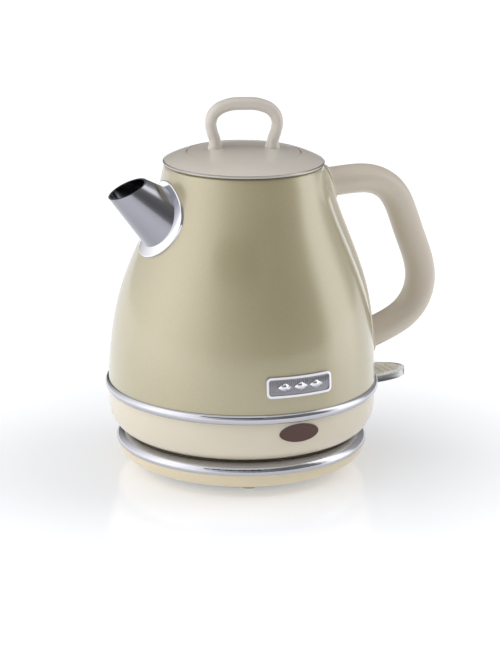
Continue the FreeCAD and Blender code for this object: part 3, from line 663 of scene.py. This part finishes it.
def band_growth() -> Growth:
    """Tree that rolls an oval section round a circle: a plated band.

    Returns:
        The tree, with inputs for the circle's radius and height and the section's half sizes.
    """
    growth = Growth("band_rolled_round_a_circle", {
        "Radius": float, "Height": float, "Half Depth": float, "Half Height": float, "Sides": int,
        "Section": int, "Material": bpy.types.Material})
    tree, given = growth.tree, growth.given
    path = add(tree, "GeometryNodeCurvePrimitiveCircle",
               links={"Resolution": given["Sides"], "Radius": given["Radius"]})
    oval = add(tree, "GeometryNodeCurvePrimitiveCircle", links={"Resolution": given["Section"]},
               values={"Radius": 1.0})
    half = add(tree, "ShaderNodeCombineXYZ", links={"X": given["Half Depth"], "Y": given["Half Height"]},
               values={"Z": 1.0})
    section = add(tree, "GeometryNodeTransform",
                  links={"Geometry": oval.outputs["Curve"], "Scale": half.outputs["Vector"]})
    rolled = add(tree, "GeometryNodeCurveToMesh",
                 links={"Curve": path.outputs["Curve"], "Profile Curve": section.outputs["Geometry"]})
    lift = add(tree, "ShaderNodeCombineXYZ", links={"Z": given["Height"]})
    placed = add(tree, "GeometryNodeTransform",
                 links={"Geometry": rolled.outputs["Mesh"], "Translation": lift.outputs["Vector"]})
    soft = add(tree, "GeometryNodeSetShadeSmooth", links={"Geometry": placed.outputs["Geometry"]})
    growth.end(soft.outputs["Geometry"])
    return growth


def line_mesh(points: Sequence[Vector]) -> bpy.types.Mesh:
    """Make an open line of edges for a tree to follow.

    Args:
        points: the line's points in order.

    Returns:
        A mesh with edges only.
    """
    mesh = bpy.data.meshes.new("guide_line")
    mesh.from_pydata([tuple(p) for p in points], [(i, i + 1) for i in range(len(points) - 1)], [])
    return mesh


# ------------------------------------------------------------------ sub-assemblies
@dataclass
class PowerBase:
    """Round base with its connector, chrome trim, skirt and feet."""

    def dress(self) -> None:
        """Put a finish on each frame node of the base."""
        dress(["base_shell"], Stock.CREAM_WARM)
        # The trim's darker chrome colour is painted shade.
        dress(["base_trim_ring"], Stock.SHADED_CHROME)
        dress(["base_top_plate"], Stock.CREAM)
        # The skirt's grey is painted shade.
        dress(["base_bottom_cover"], Stock.SHADE_GREY)
        dress(["base_hub", "cord_outlet", "base_terminal_block"], Stock.BLACK)
        dress(["base_contacts"], Stock.BRASS)
        dress(["base_feet"], Stock.SILICONE)
        dress(["base_screws"], Stock.BRUSHED)


@dataclass
class Body:
    """Painted bell, its chromed band and the housing below it."""

    sides: int = 320
    section: int = 40
    inset: float = 2.2 * MM  # the band's centre line lies this far inside its outer edge

    def build(self) -> None:
        """Roll the band round the foot of the bell."""
        low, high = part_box("body_ring")
        growth = band_growth()
        # The band's darker chrome colour is painted shade.
        mesh = growth.run(line_mesh([low, high]), {
            "Radius": high.x - self.inset, "Height": (low.z + high.z) / 2.0, "Half Depth": self.inset,
            "Half Height": (high.z - low.z) / 2.0, "Sides": self.sides, "Section": self.section,
            "Material": Stock.SHADED_CHROME.build()})
        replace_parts(piece_of("body_band", mesh, "kettle"), "body_ring")

    def dress(self) -> None:
        """Put a finish on each frame node of the body."""
        dress(["body_shell"], Stock.ENAMEL)
        dress(["lower_housing", "underside_cover"], Stock.CREAM)
        dress(["cover_screws", "heating_plate"], Stock.BRUSHED)
        dress(["plate_seal"], Stock.SILICONE)


@dataclass
class Works:
    """What heats the water and switches off when it boils."""

    def dress(self) -> None:
        """Put a finish on each frame node inside the housing."""
        dress(["heating_element"], Stock.ALUMINIUM)
        dress(["control_unit", "steam_tube", "steam_switch"], Stock.BLACK)
        dress(["control_contacts", "bimetal_disc"], Stock.BRASS)


@dataclass
class Spout:
    """Cone spout, the collar at its root and the strainer behind it."""

    def dress(self) -> None:
        """Put a finish on each frame node of the spout."""
        dress(["spout"], Stock.POLISHED)
        dress(["spout_collar"], Stock.CHROME)
        dress(["strainer_frame"], Stock.CREAM)
        dress(["strainer_mesh"], Stock.BRUSHED)


@dataclass
class Handle:
    """Loop grip on a strip that carries the water window."""

    proud: float = 3.6 * MM  # height of the strip off the bell
    root: float = 0.02 * MM  # gap between the strip and the bell
    edge: float = 1.3 * MM  # rounding along the strip's edges
    steps: int = 6  # rings over that rounding
    corner: float = 13.0 * MM
    least_corner: float = 0.5 * MM
    corner_points: int = 14
    long_points: int = 40  # points along a long side of the outline, and along a short one
    short_points: int = 4
    slot_corner: float = 4.1 * MM
    clearance: float = 0.25 * MM
    marks: int = 11
    long_every: int = 5
    long_scale: float = 2.0
    mark_radius: float = 0.22 * MM
    mark_length: float = 3.0 * MM
    mark_margin: float = 6.0 * MM  # from the window's ends to the first and last mark
    mark_offset: float = 0.5 * MM  # sideways, so that no ray meets the pane's seam
    line_points: int = 24

    def outline(self, half: float, low: float, high: float, corner: float) -> list[tuple[float, float]]:
        """Rounded rectangle as (side, height) points, the same count for any size.

        Args:
            half: half width.
            low: lowest height.
            high: highest height.
            corner: corner radius.

        Returns:
            The outline's points, anticlockwise from the lower right corner.
        """
        centres = ((half - corner, low + corner, -90), (half - corner, high - corner, 0),
                   (corner - half, high - corner, 90), (corner - half, low + corner, 180))
        points: list[tuple[float, float]] = []
        for index, (side, height, start) in enumerate(centres):
            for i in range(self.corner_points + 1):
                angle = math.radians(start + 90.0 * i / self.corner_points)
                points.append((side + corner * math.cos(angle), height + corner * math.sin(angle)))
            last = points[-1]
            after_side, after_height, after_start = centres[(index + 1) % 4]
            angle = math.radians(after_start)
            after = (after_side + corner * math.cos(angle), after_height + corner * math.sin(angle))
            count = self.long_points if index % 2 == 0 else self.short_points
            for i in range(1, count):
                part = i / count
                points.append((last[0] + (after[0] - last[0]) * part, last[1] + (after[1] - last[1]) * part))
        return points

    def build(self) -> None:
        """Make the strip with its rounded edges, and the marks on the window."""
        bell = Bell()
        low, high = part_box("handle_spine")
        pane_low, pane_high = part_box("water_window")
        outer = (high.y, low.z, high.z, self.corner)
        inner = (pane_high.y + self.clearance, pane_low.z - self.clearance, pane_high.z + self.clearance,
                 self.slot_corner)
        rings: list[list[Vector]] = []

        def ring(size: tuple[float, float, float, float], inset: float, height: float) -> None:
            """Add the outline moved in by inset, at a height off the bell."""
            half, bottom, top, corner = size
            rounding = max(corner - inset, self.least_corner)
            line = self.outline(half - inset, bottom + inset, top - inset, rounding)
            rings.append([bell.back(side, level, height) for side, level in line])

        turns = [math.radians(90.0 * i / self.steps) for i in range(self.steps + 1)]
        ring(outer, 0.0, self.root)
        for turn in turns:
            ring(outer, self.edge * (1.0 - math.cos(turn)), self.proud - self.edge * (1.0 - math.sin(turn)))
        for turn in reversed(turns):
            ring(inner, -self.edge * (1.0 - math.cos(turn)), self.proud - self.edge * (1.0 - math.sin(turn)))
        ring(inner, 0.0, self.root)
        mesh = loft("handle_strip", rings, capped=False, smooth=40.0)
        strip = piece_of("handle_strip", mesh, "kettle", Stock.CREAM)
        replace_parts(strip, "handle_spine")
        self.build_marks(pane_low, pane_high)

    def build_marks(self, low: Vector, high: Vector) -> None:
        """Set the level marks on the window, every fifth one longer.

        Args:
            low: lowest corner of the window.
            high: highest corner of the window.
        """
        pane = Skin("water_window")
        span = high.z - low.z - 2.0 * self.mark_margin
        inward = Vector((-1.0, 0.0, 0.0))
        line = []
        for i in range(self.line_points + 1):
            height = low.z + self.mark_margin + span * i / self.line_points
            line.append(pane.hit(Vector((high.x + OUTSIDE, self.mark_offset, height)), inward))
        mesh = rib_growth().run(line_mesh(line), {
            "Count": self.marks, "Facets": FACETS, "Radius": self.mark_radius, "Length": self.mark_length,
            "Lean": LAID_DOWN, "Stretch": (1.0, 1.0, 1.0), "Long Every": self.long_every,
            "Long Scale": self.long_scale, "Material": Stock.BLACK.build()})
        piece_of("window_marks", mesh, "kettle")

    def dress(self) -> None:
        """Put a finish on each frame node of the handle."""
        dress(["handle_grip"], Stock.SATIN)
        dress(["handle_upper_collar", "handle_lower_collar"], Stock.CREAM)
        dress(["water_window"], Stock.SMOKED)
        dress(["window_gasket"], Stock.SILICONE)
        dress(["handle_screws"], Stock.BRUSHED)


@dataclass
class Switch:
    """Lever that pushes the steam switch, with its pad, pin and plunger."""

    def dress(self) -> None:
        """Put a finish on each frame node of the switch."""
        dress(["switch_lever"], Stock.CLEAR)
        dress(["switch_pad"], Stock.CREAM_PALE)
        dress(["switch_plunger"], Stock.CREAM)
        dress(["switch_pin"], Stock.BRUSHED)
        dress(["switch_bracket", "switch_block"], Stock.BLACK)


@dataclass
class Trim:
    """Badge and lamp lens on the front."""

    ribs: int = 30
    rib_radius: float = 0.26 * MM
    margin: float = 1.0 * MM
    lozenges: int = 3
    lozenge_radius: float = 2.3 * MM
    lozenge_stretch: float = 1.7
    lozenge_depth: float = 0.7 * MM
    lozenge_span: float = 18.0 * MM
    lozenge_lift: float = 0.25 * MM
    line_points: int = 32

    def arc(self, half: float, proud: float) -> bpy.types.Mesh:
        """Line across the badge that follows the bell.

        Args:
            half: half its width.
            proud: distance from the badge's own face.

        Returns:
            The line.
        """
        low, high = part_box("badge_plate")
        face = Skin("badge_plate")
        height = (low.z + high.z) / 2.0
        points = []
        for i in range(self.line_points + 1):
            side = -half + 2.0 * half * i / self.line_points
            place = face.hit(Vector((side, low.y - OUTSIDE, height)), Vector((0.0, 1.0, 0.0)))
            points.append(place * (1.0 + proud / math.hypot(place.x, place.y)) if proud else place)
            points[-1].z = height
        return line_mesh(points)

    def build(self) -> None:
        """Set the ribs on the badge's field and three plain lozenges over them."""
        low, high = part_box("badge_plate")
        growth = rib_growth()
        mesh = growth.run(self.arc(high.x - self.margin, 0.0), {
            "Count": self.ribs, "Facets": FACETS, "Radius": self.rib_radius,
            "Length": high.z - low.z - 2.0 * self.margin, "Lean": (0.0, 0.0, 0.0), "Stretch": (1.0, 1.0, 1.0),
            "Long Every": 1, "Long Scale": 1.0, "Material": Stock.ETCHED.build()})
        piece_of("badge_ribs", mesh, "kettle")
        mesh = growth.run(self.arc(self.lozenge_span / 2.0, self.lozenge_lift), {
            "Count": self.lozenges, "Facets": 4, "Radius": self.lozenge_radius, "Length": self.lozenge_depth,
            "Lean": LAID_DOWN, "Stretch": (self.lozenge_stretch, 1.0, 1.0),
            "Long Every": 1, "Long Scale": 1.0, "Material": Stock.CHROME.build()})
        piece_of("badge_lozenges", mesh, "kettle")

    def dress(self) -> None:
        """Put a finish on each frame node of the trim."""
        dress(["badge_frame"], Stock.CHROME)
        dress(["badge_plate"], Stock.ETCHED)
        dress(["lamp_lens"], Stock.LENS)
        dress(["neon_lamp"], Stock.NEON)
        dress(["lamp_holder"], Stock.BLACK)


@dataclass
class Lid:
    """Lift-off lid with its loop, liner and seal."""

    # Half the loop's centre line, in mm: sideways from its middle, and above the disc.
    sideways: tuple[float, ...] = (15.2, 15.7, 17.3, 17.8, 15.3, 9.0, 0.0)
    heights: tuple[float, ...] = (-2.0, 3.4, 8.6, 13.6, 18.8, 22.2, 23.0)
    thick: float = 3.0 * MM  # half thickness of a leg
    thick_top: float = 3.4 * MM
    deep: float = 4.2 * MM  # half depth through the loop
    flare: float = 0.4  # extra size where a foot meets the disc, and the share of it in depth
    flare_deep: float = 0.6
    flare_height: float = 1.5 * MM
    rings: int = 120
    around: int = 32

    def path(self) -> list[Vector]:
        """Centre line of the loop in its own plane: sideways and up.

        Returns:
            Evenly numbered points from one foot to the other.
        """
        half = [Vector((-x * MM, z * MM, 0.0)) for x, z in zip(self.sideways, self.heights)]
        knots = half + [Vector((-p.x, p.y, 0.0)) for p in reversed(half[:-1])]
        curve = bpy.data.curves.new("loop_line", "CURVE")
        curve.dimensions = "3D"
        spline = curve.splines.new("BEZIER")
        spline.bezier_points.add(len(knots) - 1)
        for point, knot in zip(spline.bezier_points, knots):
            point.co = knot
            point.handle_left_type = "AUTO"
            point.handle_right_type = "AUTO"
        spline.resolution_u = self.rings // (len(knots) - 1)
        holder = bpy.data.objects.new("loop_line", curve)
        bpy.context.scene.collection.objects.link(holder)
        graph = bpy.context.evaluated_depsgraph_get()
        mesh = bpy.data.meshes.new_from_object(holder.evaluated_get(graph), depsgraph=graph)
        points = [v.co.copy() for v in mesh.vertices]
        bpy.data.objects.remove(holder)
        return points

    def build(self) -> None:
        """Make the loop with its pinched legs, thicker top and flared feet."""
        low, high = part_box("lid_knob")
        disc_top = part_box("lid_disc")[1].z
        angle = math.atan2(-(high.y - low.y - 2.0 * self.deep), high.x - low.x - 2.0 * self.thick)
        across = Vector((math.cos(angle), math.sin(angle), 0.0))
        through = Vector((-math.sin(angle), math.cos(angle), 0.0))
        up = Vector((0.0, 0.0, 1.0))
        line = self.path()
        top = max(p.y for p in line)
        rings = []
        for i, point in enumerate(line):
            ahead = (line[min(i + 1, len(line) - 1)] - line[max(i - 1, 0)]).normalized()
            along = across * ahead.x + up * ahead.y
            inward = along.cross(through)
            rise = max(point.y, 0.0)
            foot = 1.0 + self.flare * math.exp(-rise / self.flare_height)
            half = self.thick + (self.thick_top - self.thick) * (rise / top) ** 2
            centre = across * point.x + up * (disc_top + point.y)
            ring = []
            for j in range(self.around):
                turn = 2.0 * math.pi * j / self.around
                ring.append(centre + inward * (half * foot * math.cos(turn))
                            + through * (self.deep * (1.0 + (foot - 1.0) * self.flare_deep) * math.sin(turn)))
            rings.append(ring)
        mesh = loft("lid_loop", rings, capped=True, smooth=60.0)
        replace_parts(piece_of("lid_loop", mesh, "lid", Stock.LID), "lid_knob")

    def dress(self) -> None:
        """Put a finish on each frame node of the lid."""
        dress(["lid_shell", "lid_disc"], Stock.LID)
        dress(["lid_trim_ring"], Stock.BUFFED)
        dress(["lid_liner", "knob_screws"], Stock.BRUSHED)
        dress(["lid_seal"], Stock.SILICONE)
        dress(["lid_core"], Stock.CREAM)


# ------------------------------------------------------------------ studio
@dataclass
class Studio:
    """Pale floor, soft light all round and the camera."""

    camera_at: tuple[float, float, float] = (-0.5108, -1.1055, 0.4229)
    turn: float = -25.0
    pitch: float = 15.96
    roll: float = 0.57
    lens: float = 126.55
    floor_half: float = 6.0
    # Brightness round the room, degrees from the camera's direction to level.
    walls: tuple[tuple[float, float], ...] = (
        (-180, 0.1), (-162, 0.1), (-142, 0.7), (-115, 1.3), (-80, 2.0), (-60, 1.9), (-38, 1.4), (-18, 0.7),
        (10, 0.35), (40, 0.2), (74, 0.3), (90, 2.1), (112, 1.9), (126, 0.6), (150, 0.4), (180, 0.1))
    card_edges: tuple[float, float] = (-37.0, 20.0)  # a dark card hangs above the camera
    card_low: float = 0.5  # sine of its lowest and highest elevation
    card_high: float = 0.72
    card_shade: float = 0.93  # share of the light that it takes away
    roof: float = 0.95
    roof_from: float = 0.72  # sine of the elevation where the roof's light begins, and where it is full
    roof_full: float = 0.86
    painted_shade_full_within: float = 0.05  # painted shade: the sheet glows from below, but less near the kettle, which paints a darker zone round it
    painted_shade_ends_at: float = 0.26
    painted_shade_glow: float = 0.33
    glow_far: float = 0.6

    def build(self) -> None:
        """Make the floor, the world and the camera."""
        self.make_floor()
        self.make_world()
        self.make_camera()

    def make_floor(self) -> None:
        """A glossy white sheet that is not part of the kettle."""
        mesh = bpy.data.meshes.new("studio_floor")
        half = self.floor_half
        mesh.from_pydata([(-half, -half, 0), (half, -half, 0), (half, half, 0), (-half, half, 0)], [],
                         [(0, 1, 2, 3)])
        floor = bpy.data.objects.new("studio_floor", mesh)
        bpy.context.scene.collection.objects.link(floor)
        sheet = bpy.data.materials.new("white_acrylic_sheet_glowing_with_painted_shade")
        sheet.use_nodes = True
        shader = next(n for n in sheet.node_tree.nodes if n.type == "BSDF_PRINCIPLED")
        for socket, value in (("Base Color", linear("#d9dbe0")), ("Roughness", 0.16), ("IOR", 1.45),
                              ("Emission Color", linear("#ffffff"))):
            shader.inputs[socket].default_value = value
        spot = add(sheet.node_tree, "ShaderNodeTexCoord")
        away = add(sheet.node_tree, "ShaderNodeVectorMath", operation="LENGTH",
                   links={0: spot.outputs["Object"]})
        # Painted shade: the glow rises from a low value near the kettle to the full floor glow further out.
        glow_with_painted_shade = add(sheet.node_tree, "ShaderNodeMapRange", interpolation_type="SMOOTHSTEP",
                   links={"Value": away.outputs["Value"]},
                   values={"From Min": self.painted_shade_full_within, "From Max": self.painted_shade_ends_at,
                           "To Min": self.painted_shade_glow, "To Max": self.glow_far})
        sheet.node_tree.links.new(glow_with_painted_shade.outputs["Result"], shader.inputs["Emission Strength"])
        mesh.materials.append(sheet)

    def make_world(self) -> None:
        """Soft boxes left and right, a dark gap and a hanging card in front, light from above."""
        world = bpy.data.worlds.new("studio_light")
        bpy.context.scene.world = world
        world.use_nodes = True
        tree = world.node_tree
        tree.nodes.clear()
        look = add(tree, "ShaderNodeTexCoord")
        turned = add(tree, "ShaderNodeMapping", vector_type="POINT",
                     links={"Vector": look.outputs["Generated"]},
                     values={"Rotation": (0.0, 0.0, -math.radians(self.turn))})
        axes = add(tree, "ShaderNodeSeparateXYZ", links={"Vector": turned.outputs["Vector"]})
        back = add(tree, "ShaderNodeMath", operation="MULTIPLY", links={0: axes.outputs["Y"]},
                   values={1: -1.0})
        angle = add(tree, "ShaderNodeMath", operation="ARCTAN2",
                    links={0: axes.outputs["X"], 1: back.outputs["Value"]})
        place = add(tree, "ShaderNodeMapRange", links={"Value": angle.outputs["Value"]},
                    values={"From Min": -math.pi, "From Max": math.pi})
        top = max(level for _, level in self.walls)
        ramp = add(tree, "ShaderNodeValToRGB", links={"Fac": place.outputs["Result"]})
        stops = ramp.color_ramp.elements
        while len(stops) > 1:
            stops.remove(stops[-1])
        for i, (degrees, level) in enumerate(self.walls):
            at = (degrees + 180.0) / 360.0
            stop = stops[0] if i == 0 else stops.new(at)
            stop.position = at
            stop.color = (level / top, level / top, level / top, 1.0)
        wall = add(tree, "ShaderNodeMath", operation="MULTIPLY", links={0: ramp.outputs["Color"]},
                   values={1: top})
        turns = [math.radians(edge) for edge in self.card_edges]
        card = add(tree, "ShaderNodeMath", operation="COMPARE", links={0: angle.outputs["Value"]},
                   values={1: sum(turns) / 2.0, 2: (turns[1] - turns[0]) / 2.0})
        middle, half = (self.card_low + self.card_high) / 2.0, (self.card_high - self.card_low) / 2.0
        level = add(tree, "ShaderNodeMath", operation="COMPARE", links={0: axes.outputs["Z"]},
                    values={1: middle, 2: half})
        shade = add(tree, "ShaderNodeMath", operation="MULTIPLY",
                    links={0: card.outputs["Value"], 1: level.outputs["Value"]})
        open_part = add(tree, "ShaderNodeMath", operation="MULTIPLY_ADD", links={0: shade.outputs["Value"]},
                        values={1: -self.card_shade, 2: 1.0})
        wall = add(tree, "ShaderNodeMath", operation="MULTIPLY",
                   links={0: wall.outputs["Value"], 1: open_part.outputs["Value"]})
        roof = add(tree, "ShaderNodeMapRange", interpolation_type="SMOOTHSTEP",
                   links={"Value": axes.outputs["Z"]},
                   values={"From Min": self.roof_from, "From Max": self.roof_full})
        mixed = add(tree, "ShaderNodeMix", data_type="FLOAT",
                    links={0: roof.outputs["Result"], 2: wall.outputs["Value"]}, values={3: self.roof})
        path = add(tree, "ShaderNodeLightPath")
        seen = add(tree, "ShaderNodeMix", data_type="FLOAT",
                   links={0: path.outputs["Is Camera Ray"], 2: mixed.outputs[0]}, values={3: 1.0})
        light = add(tree, "ShaderNodeBackground", links={"Strength": seen.outputs[0]},
                    values={"Color": (1.0, 1.0, 1.0, 1.0)})
        add(tree, "ShaderNodeOutputWorld", links={"Surface": light.outputs["Background"]})
        bpy.context.scene.view_settings.view_transform = "Standard"

    def make_camera(self) -> None:
        """A long lens, a little above the lid, looking down at the kettle."""
        data = bpy.data.cameras.new("studio_camera")
        data.lens = self.lens
        data.sensor_width = 36.0
        camera = bpy.data.objects.new("studio_camera", data)
        bpy.context.scene.collection.objects.link(camera)
        turn, pitch, roll = (math.radians(v) for v in (-self.turn, self.pitch, self.roll))
        right = Vector((math.cos(turn), -math.sin(turn), 0.0))
        ahead = Vector((math.sin(turn) * math.cos(pitch), math.cos(turn) * math.cos(pitch), -math.sin(pitch)))
        above = right.cross(ahead)
        across = math.cos(roll) * right + math.sin(roll) * above
        upward = math.cos(roll) * above - math.sin(roll) * right
        spin = Matrix((across, upward, -ahead)).transposed().to_4x4()
        camera.matrix_world = Matrix.Translation(Vector(self.camera_at)) @ spin
        bpy.context.scene.camera = camera


def main() -> None:
    """Build the studio, then every sub-assembly in order."""
    logging.basicConfig(level=logging.INFO, format="%(name)s %(message)s")
    Studio().build()
    for assembly in (PowerBase(), Body(), Works(), Spout(), Handle(), Switch(), Trim(), Lid()):
        LOG.info("-- %s", type(assembly).__name__)
        if hasattr(assembly, "build"):
            assembly.build()
        assembly.dress()


if __name__ == "__main__":
    main()
